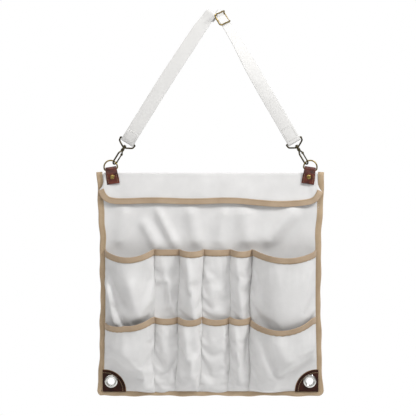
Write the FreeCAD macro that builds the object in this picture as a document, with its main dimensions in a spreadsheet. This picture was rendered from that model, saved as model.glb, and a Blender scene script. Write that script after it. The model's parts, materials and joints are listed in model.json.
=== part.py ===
import FreeCAD, Part
import math
import os

# A canvas organizer that hangs from a shoulder strap. Two rows of open pockets are sewn to a back
# panel with bound edges. Two leather tabs hold D-rings, and the strap's swivel hooks clip to them.
# The origin is where the strap rests on its peg. X runs to the right, Z up, and the front is -Y.

DIMENSIONS = {
    "hang_height": 681, "panel_shift": -5, "panel_half": 192, "panel_height": 402,
    "panel_back": 8.2, "cloth": 1.6, "tape_width": 11, "tape_thick": 3.2,
    "header_height": 22, "header_thick": 1.8,
    "flap_half": 190.5, "flap_drop": 33, "flap_gap": 1.5, "flap_corner": 16, "flap_plane": 5.2,
    "flap_tape_width": 10, "flap_cloth_thick": 1.4, "flap_tape_thick": 1.8,
    "upper_mouth": 265, "upper_floor": 146, "lower_mouth": 143, "lower_floor": 11,
    "mouth_tape": 10.5, "mouth_tape_thick": 2.8, "seam_gap": 0.5, "pocket_floor": 2,
    "taper": 0.6, "corner_radius": 42, "leather": 1.8, "corner_room": 46,
    "grommet_side": 179.5, "grommet_rise": 27, "grommet_hole": 6.5, "grommet_barrel": 7.3,
    "grommet_flange": 12, "grommet_roll": 1.4,
    "tab_side": 178.5, "tab_rise": 409.5, "tab_width": 20.5, "tab_length": 26, "tab_tilt": 9,
    "tab_bore": 3.2, "tab_skin": 5, "link_plane": 3, "rivet_drop": 13.5, "rivet_shank": 2,
    "rivet_hole": 2.1, "rivet_head": 4.2, "rivet_dome": 1.6, "rivet_back": 1,
    "ring_half": 12, "ring_corner": 3, "ring_leg": 4.3, "ring_wire": 1.3, "ring_contact": 41,
    "strap_width": 25, "strap_thick": 2, "strap_top": 17, "strap_loop": 4, "strap_bore": 2,
    "strap_fold": 38, "eye_wire": 1.6, "eye_half": 14.4, "eye_knee": 5.4, "eye_foot": 3.1,
    "eye_depth": 12, "collar_radius": 3.7,
    "collar_length": 4.6, "swivel_bore": 1.75, "swivel_pin": 1.7, "swivel_head": 2.7,
    "swivel_play": 0.3, "swivel_head_high": 1.2, "hook_wire": 1.5, "hook_half": 5.5,
    "hook_shoulder": 26, "hook_bend": 42, "hook_nose": 40.6, "hook_turn": 60, "hook_hold": 43.5,
    "barrel_radius": 3, "barrel_length": 4, "gate_wire": 1.2, "gate_gap": 0.5, "gate_eye": 2.3,
    "slider_place": 30, "slider_half": 15.8, "slider_length": 24, "slider_bar": 3,
    "slider_rail": 2.6, "slider_wire": 2, "slider_play": 0.4,
}

COLUMN_SEAMS = [-192, -103, -56, -14, 36, 74, 192]
UPPER_DEPTHS = [34, 14, 18, 14, 16, 46]
LOWER_DEPTHS = [38, 15, 18, 18, 16, 44]

doc = FreeCAD.newDocument("organizer")
sheet = doc.addObject("Spreadsheet::Sheet", "dims")
for row, (word, number) in enumerate(DIMENSIONS.items(), start=1):
    sheet.set(f"A{row}", word)
    sheet.set(f"B{row}", str(number))
    sheet.setAlias(f"B{row}", word)
doc.recompute()
nodes = []


def dim(word):
    """A driving dimension, read from the sheet."""
    return float(sheet.get(word))


def bound(expression):
    """An expression whose names in braces are cells of the sheet."""
    return expression.format_map({word: f"<<dims>>.{word}" for word in DIMENSIONS})


def level(height):
    """The Z of a height above the panel's bottom edge."""
    return height - dim("hang_height")


def panel_point(x, y, height):
    return FreeCAD.Vector(x + dim("panel_shift"), y, level(height))


def keep(node, name):
    """Names a finished sub-part and lists it for export."""
    node.Label = name
    nodes.append(node)
    return node


def shape_node(name, shape, placement=FreeCAD.Placement()):
    node = doc.addObject("Part::Feature", name)
    node.Shape = shape
    node.Placement = placement
    return keep(node, name)


def box_node(name, corner, sizes):
    """A plain box with its three sizes bound to the sheet."""
    node = doc.addObject("Part::Box", name)
    for side, size in zip(("Length", "Width", "Height"), sizes):
        node.setExpression(side, bound(size))
    node.Placement = FreeCAD.Placement(corner, FreeCAD.Rotation())
    return keep(node, name)


def plane_of(body, role):
    return [f for f in body.Origin.OriginFeatures if f.Role == role][0]


def add_sketch(body, role, curves):
    sketch = body.newObject("Sketcher::SketchObject", body.Name + "_sketch")
    sketch.AttachmentSupport = [(plane_of(body, role), "")]
    sketch.MapMode = "FlatFace"
    sketch.addGeometry(curves, False)
    return sketch


def closed_lines(points):
    """Straight edges round a list of (x, y) corners."""
    corners = [FreeCAD.Vector(x, y, 0) for x, y in points]
    return [Part.LineSegment(a, b) for a, b in zip(corners, corners[1:] + corners[:1])]


def circle(x, y, radius):
    return Part.Circle(FreeCAD.Vector(x, y, 0), FreeCAD.Vector(0, 0, 1), radius)


def arc(x, y, radius, start, end):
    """An arc counterclockwise from start to end, in degrees."""
    return Part.ArcOfCircle(circle(x, y, radius), math.radians(start), math.radians(end))


def padded_body(name, role, curves, length, placement, both_ways=False):
    body = doc.addObject("PartDesign::Body", name)
    sketch = add_sketch(body, role, curves)
    pad = body.newObject("PartDesign::Pad", name + "_pad")
    pad.Profile = sketch
    pad.setExpression("Length", bound(length))
    pad.SideType = "Symmetric" if both_ways else "One side"
    body.Placement = placement
    return keep(body, name)


def turned_body(name, profile, placement):
    """A profile in X and Y turned round the Y axis."""
    body = doc.addObject("PartDesign::Body", name)
    sketch = add_sketch(body, "XY_Plane", profile)
    turn = body.newObject("PartDesign::Revolution", name + "_turn")
    turn.Profile = sketch
    turn.ReferenceAxis = (sketch, ["V_Axis"])
    turn.Angle = 360
    body.Placement = placement
    return keep(body, name)


def drill(body, x, z, radius):
    """A round hole right through a body along Y."""
    sketch = add_sketch(body, "XZ_Plane", [circle(x, z, radius)])
    hole = body.newObject("PartDesign::Pocket", body.Name + "_hole")
    hole.Profile = sketch
    hole.Type = "ThroughAll"
    hole.SideType = "Symmetric"
    return hole


def turned(angle, base):
    """A placement turned in the plane of the panel, and moved to base."""
    return FreeCAD.Placement(base, FreeCAD.Rotation(FreeCAD.Vector(0, 1, 0), angle))


# The back panel, its bound edges and the header sewn along its top.
panel_front = dim("panel_back") - dim("cloth")


def make_panel():
    half = dim("panel_half")
    low = dim("tape_width")
    outline = closed_lines([(-half, low), (half, low), (half, dim("panel_height")),
                            (-half, dim("panel_height"))])
    holes = []
    for side in (-1, 1):
        holes.append(circle(side * dim("grommet_side"), dim("grommet_rise"), dim("grommet_barrel")))
        rivet_x, rivet_z = rivet_place(side)
        holes.append(circle(rivet_x, rivet_z, dim("rivet_hole")))
    place = FreeCAD.Placement(panel_point(0, dim("panel_back"), 0), FreeCAD.Rotation())
    padded_body("back_panel", "XZ_Plane", outline + holes, "{cloth}", place)


def rivet_place(side):
    """Where a tab's rivet is, from the middle of the panel's bottom edge."""
    tilt = math.radians(dim("tab_tilt"))
    x = side * (dim("tab_side") - dim("rivet_drop") * math.sin(tilt))
    return x, dim("tab_rise") - dim("rivet_drop") * math.cos(tilt)


def make_tapes():
    tape_front = (panel_front + dim("panel_back") - dim("tape_thick")) / 2
    half = dim("panel_half")
    for name, x in (("left_side_tape", -half - dim("tape_width")), ("right_side_tape", half)):
        box_node(name, panel_point(x, tape_front, 0),
                 ("{tape_width}", "{tape_thick}", "{panel_height} + 3"))
    box_node("bottom_tape", panel_point(-half, tape_front, 0),
             ("2 * {panel_half}", "{tape_thick}", "{tape_width}"))


def make_header():
    half = dim("panel_half")
    top = dim("panel_height")
    low = top - dim("header_height")
    outline = closed_lines([(-half, low), (half, low), (half, top), (-half, top)])
    holes = [circle(*rivet_place(side), dim("rivet_hole")) for side in (-1, 1)]
    place = FreeCAD.Placement(panel_point(0, panel_front, 0), FreeCAD.Rotation())
    padded_body("header_band", "XZ_Plane", outline + holes, "{header_thick}", place)


# The flap hangs from the header over the mouths of the upper pockets.
flap_pivot = dim("panel_height") - dim("header_height")


def flap_curves(inset, top):
    """The flap's outline: a wide band with its two lower corners rounded."""
    half = dim("flap_half") - inset
    low = -dim("flap_drop") + inset
    radius = dim("flap_corner") - inset
    lines = [Part.LineSegment(FreeCAD.Vector(half, low + radius, 0), FreeCAD.Vector(half, top, 0)),
             Part.LineSegment(FreeCAD.Vector(half, top, 0), FreeCAD.Vector(-half, top, 0)),
             Part.LineSegment(FreeCAD.Vector(-half, top, 0), FreeCAD.Vector(-half, low + radius, 0)),
             Part.LineSegment(FreeCAD.Vector(radius - half, low, 0),
                              FreeCAD.Vector(half - radius, low, 0))]
    return lines + [arc(radius - half, low + radius, radius, 180, 270),
                    arc(half - radius, low + radius, radius, 270, 360)]


def make_flap():
    thick = dim("flap_cloth_thick")
    place = FreeCAD.Placement(panel_point(0, dim("flap_plane") + thick / 2, flap_pivot),
                              FreeCAD.Rotation())
    inner = flap_curves(dim("flap_tape_width"), -dim("flap_gap"))
    padded_body("flap_cloth", "XZ_Plane", inner, "{flap_cloth_thick}", place)
    outer_wire = Part.Wire(Part.sortEdges([c.toShape() for c in flap_curves(0, -dim("flap_gap"))])[0])
    inner_wire = Part.Wire(Part.sortEdges([c.toShape() for c in inner])[0])
    tape = Part.Face(outer_wire).cut(Part.Face(inner_wire))
    solid = tape.extrude(FreeCAD.Vector(0, 0, dim("flap_tape_thick")))
    back = panel_point(0, dim("flap_plane") + dim("flap_tape_thick") / 2, flap_pivot)
    shape_node("flap_tape", solid.Solids[0],
               FreeCAD.Placement(back, FreeCAD.Rotation(FreeCAD.Vector(1, 0, 0), 90)))


# The pockets. Each is a bowed front wall that is sewn down at both sides and closed below.
def bow(left, right, depth, height):
    """An arc in front of the panel from seam to seam, at a height."""
    ends = [panel_point(x, panel_front, height) for x in (left, right)]
    crown = panel_point((left + right) / 2, panel_front - depth, height)
    return Part.Arc(ends[0], crown, ends[1]).toShape()


def bowed_face(left, right, depth, height):
    """The flat region between the panel and an arc."""
    curve = bow(left, right, depth, height)
    base = Part.LineSegment(curve.Vertexes[-1].Point, curve.Vertexes[0].Point).toShape()
    return Part.Wire([curve, base])


def pocket_solid(top, floor, spans, depths):
    """A tapered pocket: the outer form less the room inside it."""
    cloth = dim("cloth")
    low = floor + dim("pocket_floor")
    outer = Part.makeLoft([bowed_face(*spans[0], depths[0], top),
                           bowed_face(*spans[1], depths[1], floor)], True, True)
    slack = [(span[0] + cloth, span[1] - cloth) for span in spans]
    beyond = 1.0
    inner = Part.makeLoft([bowed_face(*slack[0], depths[0] - cloth, top + beyond),
                           bowed_face(*slack[1], depths[1] - cloth, low)], True, True)
    return outer.cut(inner)


def mouth_solid(span, depth, mouth):
    """The binding round a pocket's mouth, as a band that follows its bow."""
    grow = (dim("mouth_tape_thick") - dim("cloth")) / 2
    low = mouth - dim("mouth_tape")
    outer = Part.Face(bowed_face(*span, depth + grow, low))
    skin = dim("mouth_tape_thick")
    inner = Part.Face(bowed_face(span[0] + skin, span[1] - skin, depth + grow - skin, low))
    return outer.cut(inner).extrude(FreeCAD.Vector(0, 0, dim("mouth_tape"))).Solids[0]


def make_pocket_row(row, mouth, floor, depths, at_corners):
    gap = dim("seam_gap")
    columns = len(depths)
    for i, depth in enumerate(depths):
        span = (COLUMN_SEAMS[i] + gap, COLUMN_SEAMS[i + 1] - gap)
        foot = span
        if at_corners and i == 0:
            foot = (span[0] + dim("corner_room"), span[1])
        if at_corners and i == columns - 1:
            foot = (span[0], span[1] - dim("corner_room"))
        top = mouth - dim("mouth_tape")
        solid = pocket_solid(top, floor, (span, foot), (depth, depth * dim("taper")))
        shape_node(f"{row}_pocket_{i + 1}", solid)
        shape_node(f"{row}_mouth_tape_{i + 1}", mouth_solid(span, depth, mouth))


# Leather corners and the grommets through them.
def make_corners():
    radius = dim("corner_radius")
    for name, side in (("left", -1), ("right", 1)):
        corner = side * dim("panel_half")
        inward = corner - side * radius
        low = dim("tape_width")
        start, end = (0, 90) if side < 0 else (90, 180)
        tip = FreeCAD.Vector(corner, low + radius, 0)
        toe = FreeCAD.Vector(inward, low, 0)
        heel = FreeCAD.Vector(corner, low, 0)
        curves = [arc(corner, low, radius, start, end), Part.LineSegment(heel, tip),
                  Part.LineSegment(heel, toe),
                  circle(side * dim("grommet_side"), dim("grommet_rise"), dim("grommet_barrel"))]
        place = FreeCAD.Placement(panel_point(0, panel_front, 0), FreeCAD.Rotation())
        padded_body(f"{name}_corner_leather", "XZ_Plane", curves, "{leather}", place)
        make_grommet(name, side)


def make_grommet(name, side):
    """A flanged barrel from the front, and a washer that its back end is rolled over."""
    hole = dim("grommet_hole")
    barrel = dim("grommet_barrel")
    flange = dim("grommet_flange")
    roll = dim("grommet_roll")
    front = -dim("leather") - dim("cloth")
    mid = (barrel + flange) / 2
    profile = [(hole, 0), (barrel, 0), (barrel, front), (flange, front), (flange, front - roll / 2),
               (mid, front - roll), (hole, front - roll / 2)]
    centre = panel_point(side * dim("grommet_side"), dim("panel_back"), dim("grommet_rise"))
    place = FreeCAD.Placement(centre, FreeCAD.Rotation())
    turned_body(f"{name}_grommet", closed_lines(profile), place)
    washer = [(hole, 0), (flange, 0), (flange, roll / 2), (mid, roll), (hole, roll / 2)]
    turned_body(f"{name}_grommet_washer", closed_lines(washer), place)


# Leather tabs, their rivets and the D-rings that they hold.
def tab_origin(side):
    """The middle of a D-ring's bar, inside its tab."""
    return panel_point(side * dim("tab_side"), dim("link_plane"), dim("tab_rise"))


def make_tab(name, side):
    skin = dim("tab_skin")
    leg = dim("leather")
    meet = math.sqrt(skin ** 2 - leg ** 2)
    start = math.degrees(math.atan2(-meet, leg))
    end = 180 - start
    foot = -dim("tab_length")
    corners = [FreeCAD.Vector(-leg, -meet, 0), FreeCAD.Vector(-leg, foot, 0),
               FreeCAD.Vector(leg, foot, 0), FreeCAD.Vector(leg, -meet, 0)]
    legs = [Part.LineSegment(a, b) for a, b in zip(corners, corners[1:])]
    curves = legs + [arc(0, 0, skin, start, end), circle(0, 0, dim("tab_bore"))]
    body = padded_body(f"{name}_tab", "YZ_Plane", curves, "{tab_width}",
                       turned(side * dim("tab_tilt"), tab_origin(side)), both_ways=True)
    drill(body, 0, -dim("rivet_drop"), dim("rivet_hole"))


def make_rivet(name, side):
    head = dim("rivet_head")
    shank = dim("rivet_shank")
    front = dim("link_plane") - dim("leather") - dim("panel_back")
    dome = dim("rivet_dome")
    back = dim("rivet_back")
    profile = [(0, front - dome), (head * 0.6, front - dome * 0.8), (head, front), (shank, front),
               (shank, 0), (head, 0), (head * 0.8, back), (0, back)]
    x, height = rivet_place(side)
    place = FreeCAD.Placement(panel_point(x, dim("panel_back"), height), FreeCAD.Rotation())
    turned_body(f"{name}_rivet", closed_lines(profile), place)


def ring_spine():
    """The D-ring's centre line: a straight bar, two short legs and a half circle."""
    half = dim("ring_half")
    corner = dim("ring_corner")
    leg = dim("ring_leg")
    cut = corner * (1 - math.sqrt(0.5))

    def at(x, z):
        return FreeCAD.Vector(x, 0, z)

    edges = [Part.LineSegment(at(corner - half, 0), at(half - corner, 0)),
             Part.Arc(at(half - corner, 0), at(half - cut, cut), at(half, corner)),
             Part.LineSegment(at(half, corner), at(half, leg)),
             Part.Arc(at(half, leg), at(0, leg + half), at(-half, leg)),
             Part.LineSegment(at(-half, leg), at(-half, corner)),
             Part.Arc(at(-half, corner), at(cut - half, cut), at(corner - half, 0))]
    return Part.Wire([edge.toShape() for edge in edges])


def make_ring(name, side):
    spine = ring_spine()
    start = spine.Edges[0].Vertexes[0].Point
    profile = Part.Wire(Part.Circle(start, FreeCAD.Vector(1, 0, 0), dim("ring_wire")).toShape())
    ring = spine.makePipeShell([profile], True, False)
    shape_node(f"{name}_ring", ring, turned(side * dim("tab_tilt"), tab_origin(side)))


def ring_hold(side):
    """Where the hook bears on the ring: its inner shoulder."""
    lift = math.radians(dim("ring_contact"))
    half = dim("ring_half")
    local = FreeCAD.Vector(-side * half * math.cos(lift), 0,
                           dim("ring_leg") + half * math.sin(lift))
    return turned(side * dim("tab_tilt"), tab_origin(side)).multVec(local)


# The strap and its hooks lie on two lines from the fold at the top to the rings.
def apex():
    """Where the two runs' centre lines meet, above the origin."""
    spread = [abs(ring_hold(side).x) for side in (-1, 1)]
    drop = abs(ring_hold(1).z)
    lean = math.atan2(sum(spread) / 2, drop + dim("strap_width"))
    return dim("strap_width") / 2 / math.sin(lean)


def run_angle(side):
    hold = ring_hold(side)
    return -math.degrees(math.atan2(hold.x, apex() - hold.z))


def run_length(side):
    hold = ring_hold(side)
    return math.hypot(hold.x, apex() - hold.z)


def run_place(side):
    """A frame at the eye's bar, with +Z up along the strap."""
    angle = run_angle(side)
    hold = ring_hold(side)
    reach = dim("hook_hold")
    base = FreeCAD.Vector(hold.x + reach * math.sin(math.radians(angle)), dim("link_plane"),
                          hold.z + reach * math.cos(math.radians(angle)))
    return turned(angle, base)


def rod(start, end, radius):
    """A round rod between two points, with rounded ends."""
    a = FreeCAD.Vector(*start)
    b = FreeCAD.Vector(*end)
    bar = Part.makeCylinder(radius, (b - a).Length, a, b - a)
    return bar.fuse([Part.makeSphere(radius, a), Part.makeSphere(radius, b)])


def cylinder(radius, low, high):
    return Part.makeCylinder(radius, high - low, FreeCAD.Vector(0, 0, low))


def strap_run(side):
    """One run of webbing, with its end folded round the eye's bar and sewn to its back."""
    width = dim("strap_width")
    thick = dim("strap_thick")
    loop = dim("strap_loop")
    fold = dim("strap_fold")
    length = run_length(side)
    start = -width / 2

    def at(y, z):
        return FreeCAD.Vector(start, y, z)

    bend = Part.Arc(at(-loop, 0), at(0, -loop), at(loop, 0)).toShape()
    corners = [at(loop, 0), at(2 * thick - loop, 2 * loop), at(2 * thick - loop, fold),
               at(thick - loop, fold), at(thick - loop, length), at(-loop, length), at(-loop, 0)]
    lines = [Part.LineSegment(a, b).toShape() for a, b in zip(corners, corners[1:])]
    across = FreeCAD.Vector(1, 0, 0)
    bore = Part.Circle(at(0, 0), across, dim("strap_bore")).toShape()
    section = Part.Face(Part.Wire([bend] + lines)).cut(Part.Face(Part.Wire(bore)))
    run = section.extrude(across * width).Solids[0]
    run.Placement = run_place(side)
    return run


def make_strap():
    """Both runs, cut level above the fold and notched for the slider."""
    runs = [strap_run(side) for side in (-1, 1)]
    reach = run_length(1)
    corner = FreeCAD.Vector(-reach / 2, -reach / 2, dim("strap_top"))
    lid = Part.makeBox(reach, reach, reach, corner)
    both = runs[0].fuse(runs[1]).cut([lid, slider_notch()])
    shape_node("strap_webbing", both.removeSplitter().Solids[0])


def slider_frame():
    """A frame on the right run at the slider, with +Z up along the strap."""
    angle = run_angle(1)
    place = dim("slider_place")
    base = FreeCAD.Vector(-place * math.sin(math.radians(angle)), 0,
                          apex() - place * math.cos(math.radians(angle)))
    return turned(angle, base)


def slider_notch():
    """Room beside the right run for the slider's inner rail."""
    play = dim("slider_play")
    half = dim("slider_half") + play
    width = half - dim("strap_width") / 2
    room = dim("slider_length") / 2 + play
    notch = Part.makeBox(width, 3 * dim("strap_thick"), 2 * room,
                         FreeCAD.Vector(-half, -1.5 * dim("strap_thick"), -room))
    notch.Placement = slider_frame()
    return notch


def make_slider():
    """Two rails outside the webbing, two bars before it and one bar behind it."""
    half = dim("slider_half")
    length = dim("slider_length")
    rail = dim("slider_rail")
    bar = dim("slider_bar")
    wire = dim("slider_wire")
    reach = dim("strap_thick") / 2 + dim("slider_play")
    depth = 2 * (reach + wire)
    rails = [Part.makeBox(rail, depth, length, FreeCAD.Vector(x, -depth / 2, -length / 2))
             for x in (-half, half - rail)]
    fronts = [Part.makeBox(2 * half, wire, bar, FreeCAD.Vector(-half, -reach - wire, z))
              for z in (-length / 2, length / 2 - bar)]
    back = Part.makeBox(2 * half, wire, bar, FreeCAD.Vector(-half, reach, -bar / 2))
    shape = rails[0].fuse(rails[1:] + fronts + [back]).removeSplitter()
    shape_node("strap_slider", shape.Solids[0], slider_frame())


def make_eye(name, side):
    """The strap's loop of wire, with a collar that the hook's pin turns in."""
    half = dim("eye_half")
    wire = dim("eye_wire")
    depth = dim("eye_depth")
    collar = dim("collar_radius")
    top = -depth + dim("collar_length") / 2
    low = top - dim("collar_length")
    bar = rod((-half, 0, 0), (half, 0, 0), wire)
    knees = [(x * half, 0, -dim("eye_knee")) for x in (-1, 1)]
    feet = [(x * dim("eye_foot"), 0, -depth) for x in (-1, 1)]
    sides = [rod((x * half, 0, 0), knee, wire) for x, knee in zip((-1, 1), knees)]
    arms = [rod(knee, foot, wire) for knee, foot in zip(knees, feet)]
    loop = bar.fuse(sides + arms + [cylinder(collar, low, top)])
    head_room = cylinder(dim("swivel_head") + dim("swivel_play"), top, top + collar)
    loop = loop.cut([cylinder(dim("swivel_bore"), low - 1, top + 1), head_room])
    shape_node(f"{name}_eye", loop.removeSplitter().Solids[0], run_place(side))


def hook_place(side):
    """The hook's own frame: turned about its pin, away from the ring's plane."""
    twist = FreeCAD.Rotation(FreeCAD.Vector(0, 0, 1), -side * dim("hook_turn"))
    return run_place(side).multiply(FreeCAD.Placement(FreeCAD.Vector(), twist))


def make_hook(name, side):
    wire = dim("hook_wire")
    half = dim("hook_half")
    shoulder = -dim("hook_shoulder")
    bend = -dim("hook_bend")
    collar_top = -dim("eye_depth") + dim("collar_length") / 2
    collar_low = collar_top - dim("collar_length")
    play = dim("swivel_play")
    barrel_top = collar_low - play
    barrel_low = barrel_top - dim("barrel_length")
    pin = cylinder(dim("swivel_pin"), barrel_top - 1, collar_top + play)
    head_low = collar_top + play
    head = cylinder(dim("swivel_head"), head_low, head_low + dim("swivel_head_high"))
    barrel = cylinder(dim("barrel_radius"), barrel_low, barrel_top)
    back = rod((-half, 0, shoulder), (-half, 0, bend), wire)
    yoke = [rod((0, 0, barrel_low), (-half, 0, shoulder), wire),
            rod((0, 0, barrel_low), (half, 0, shoulder + 1), wire)]
    centre = FreeCAD.Vector(0, 0, bend)
    bow_ring = Part.makeTorus(half, wire, centre, FreeCAD.Vector(0, 1, 0))
    room = 4 * half
    above = Part.makeBox(2 * room, 2 * room, room, FreeCAD.Vector(-room, -room, bend))
    nose = Part.makeCylinder(wire, dim("hook_bend") - dim("hook_nose"),
                             FreeCAD.Vector(half, 0, bend))
    parts = [head, barrel, back, bow_ring.cut(above), nose] + yoke
    hook = pin.fuse(parts).cut(gate_room())
    shape_node(f"{name}_hook", hook.removeSplitter().Solids[0], hook_place(side))


def gate_room():
    """A slot in the hook's shoulder for the eye of the gate."""
    wide = dim("gate_wire") + dim("gate_gap")
    reach = dim("gate_eye") + dim("gate_gap")
    centre = FreeCAD.Vector(dim("hook_half"), -wide, -dim("hook_shoulder"))
    return Part.makeCylinder(reach, 2 * wide, centre, FreeCAD.Vector(0, 1, 0))


def make_gate(name, side):
    """The spring gate: a short bar from its pivot to just above the nose."""
    wire = dim("gate_wire")
    half = dim("hook_half")
    top = -dim("hook_shoulder")
    tip = -dim("hook_nose") + dim("gate_gap") + wire
    bar = rod((half, 0, top), (half, 0, tip), wire)
    eye = Part.makeCylinder(dim("gate_eye"), 2 * wire, FreeCAD.Vector(half, -wire, top),
                            FreeCAD.Vector(0, 1, 0))
    shape_node(f"{name}_gate", bar.fuse(eye).removeSplitter().Solids[0], hook_place(side))


make_panel()
make_tapes()
make_header()
make_flap()
make_pocket_row("upper", dim("upper_mouth"), dim("upper_floor"), UPPER_DEPTHS, False)
make_pocket_row("lower", dim("lower_mouth"), dim("lower_floor"), LOWER_DEPTHS, True)
make_corners()
for name, side in (("left", -1), ("right", 1)):
    make_tab(name, side)
    make_rivet(name, side)
    make_ring(name, side)
    make_eye(name, side)
    make_hook(name, side)
    make_gate(name, side)
make_strap()
make_slider()
doc.recompute()

# Every object is sound, and every sub-part is one valid solid, before any file is written.
for item in doc.Objects:
    if "Invalid" in item.State or "Error" in item.State:
        raise ValueError(f"{item.Name} is {item.State}")
for node in nodes:
    shape = node.Shape
    if shape.isNull() or not shape.isValid() or len(shape.Solids) != 1:
        raise ValueError(f"{node.Label} has no single valid solid: {len(shape.Solids)}")
os.makedirs("parts", exist_ok=True)
for node in nodes:
    node.Shape.exportStep(f"parts/{node.Label}.step")
    room = node.Shape.BoundBox
    print(f"{node.Label}: {room.XMin:.1f}..{room.XMax:.1f} {room.YMin:.1f}..{room.YMax:.1f} "
          f"{room.ZMin:.1f}..{room.ZMax:.1f} mm, {node.Shape.Volume:.0f} mm3")
print(f"{len(nodes)} sub-parts; the strap's runs lean {run_angle(-1):.2f} and {run_angle(1):.2f}")
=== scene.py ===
# %% [markdown]
# # A hanging canvas organizer
# This lesson dresses a finished frame as the real thing: a canvas panel with two rows of sewn
# pockets, bound in cotton tape, with leather corners, brass rings and a webbing strap.
# The frame gives every place and size. It is in metres, with the front facing -Y.

# %% Load the frame
import json
import math
import bpy
import numpy as np
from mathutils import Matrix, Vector


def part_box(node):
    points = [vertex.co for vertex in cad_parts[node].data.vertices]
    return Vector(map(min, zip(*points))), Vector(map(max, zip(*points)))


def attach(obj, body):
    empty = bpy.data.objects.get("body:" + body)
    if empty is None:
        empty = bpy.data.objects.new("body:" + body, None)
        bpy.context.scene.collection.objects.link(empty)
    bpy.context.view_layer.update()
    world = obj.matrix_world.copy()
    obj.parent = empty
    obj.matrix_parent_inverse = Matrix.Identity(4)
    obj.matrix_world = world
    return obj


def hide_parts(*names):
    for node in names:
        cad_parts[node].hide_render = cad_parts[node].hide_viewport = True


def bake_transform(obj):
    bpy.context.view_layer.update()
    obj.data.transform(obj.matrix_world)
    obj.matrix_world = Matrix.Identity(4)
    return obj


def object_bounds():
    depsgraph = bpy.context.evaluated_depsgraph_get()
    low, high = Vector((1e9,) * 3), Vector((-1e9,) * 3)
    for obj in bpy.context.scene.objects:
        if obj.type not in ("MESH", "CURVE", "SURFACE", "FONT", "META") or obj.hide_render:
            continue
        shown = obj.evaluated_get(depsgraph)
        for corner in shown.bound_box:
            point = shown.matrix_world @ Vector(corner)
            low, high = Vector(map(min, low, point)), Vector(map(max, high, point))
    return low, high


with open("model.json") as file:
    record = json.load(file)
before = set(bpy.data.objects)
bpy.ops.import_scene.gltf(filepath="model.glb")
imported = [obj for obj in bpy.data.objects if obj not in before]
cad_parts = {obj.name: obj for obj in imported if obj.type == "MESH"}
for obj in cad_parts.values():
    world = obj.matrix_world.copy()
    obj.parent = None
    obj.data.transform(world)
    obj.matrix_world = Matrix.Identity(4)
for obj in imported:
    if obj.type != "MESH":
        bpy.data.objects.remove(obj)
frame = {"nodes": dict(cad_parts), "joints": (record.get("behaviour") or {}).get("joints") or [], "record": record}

cad_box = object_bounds()
MM = 0.001
joints = {joint["name"]: joint for joint in frame["joints"]}
print("nodes:", len(frame["nodes"]), "joints:", len(joints))


# %% [markdown]
# Places come from the frame's own boxes and joints. The panel's bottom edge is the zero of every
# height below, and its middle is the zero of every width, so a maker's ruler reads them directly.

# %% Read the places
tape_low, tape_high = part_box("left_side_tape")
panel_low, panel_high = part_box("back_panel")
MIDDLE = (tape_low.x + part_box("right_side_tape")[1].x) / 2
BOTTOM = tape_low.z
FRONT = panel_low.y
BACK = panel_high.y
CLOTH = BACK - FRONT
TAPE = tape_high.x - tape_low.x
HALF = (panel_high.x - panel_low.x) / 2
TOP = panel_high.z - BOTTOM
SEAMS = [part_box(f"upper_pocket_{i}")[0].x - MIDDLE for i in range(2, 7)]
SEAMS = [-HALF] + [round(x / MM) * MM for x in SEAMS] + [HALF]
print("panel half width", round(HALF, 4), "height", round(TOP, 4),
      "seams", [round(x, 4) for x in SEAMS])


def spot(x, y, height):
    """A point from the panel's middle, at a depth y and a height above its bottom edge."""
    return np.array([MIDDLE + x, y, BOTTOM + height])


print("one corner of the panel is at", spot(HALF, FRONT, 0).round(4))


# %% [markdown]
# ## Helpers for finishes
# Colours are chosen as sRGB hex, as a paint card gives them, and Blender wants them linear.
# One helper adds a shader node, sets its sockets and links its inputs, and nothing more is needed.

# %% Colour and node helpers
def colour(code):
    """An sRGB hex colour as linear RGBA."""
    parts = [int(code[i:i + 2], 16) / 255 for i in (1, 3, 5)]
    return tuple([c / 12.92 if c <= 0.04045 else ((c + 0.055) / 1.055) ** 2.4 for c in parts] + [1.0])


def add(tree, kind, settings=None, **sockets):
    """Adds a node. Settings are its properties, and sockets are values or another node's output."""
    made = tree.nodes.new(kind)
    for name, value in (settings or {}).items():
        setattr(made, name, value)
    for name, value in sockets.items():
        key = int(name[1:]) if name[0] == "i" and name[1:].isdigit() else name.replace("_", " ")
        if isinstance(value, bpy.types.NodeSocket):
            tree.links.new(value, made.inputs[key])
        else:
            made.inputs[key].default_value = value
    return made


def finish_of(name):
    """A new material, its tree and its shader."""
    made = bpy.data.materials.new(name)
    made.use_nodes = True
    return made, made.node_tree, made.node_tree.nodes["Principled BSDF"]


def two_tone(tree, factor, dark, light):
    """Mixes two colours by a factor from 0 to 1."""
    mix = add(tree, "ShaderNodeMix", {"data_type": "RGBA"}, i0=factor, i6=colour(dark), i7=colour(light))
    return mix.outputs[2]


print("mid grey #808080 is", round(colour("#808080")[0], 3), "in linear light")


# %% [markdown]
# ## Canvas
# Cotton duck canvas is a plain weave: thick threads over and under each other, about 0.6 mm apart.
# It scatters light softly, with a faint sheen of fibre ends. The thread pattern is two crossed
# waves multiplied together. Real threads are too fine to show from two metres away, so they are
# drawn 1.1 mm apart. A slow noise makes it a little uneven, as washed cotton is.

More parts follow.
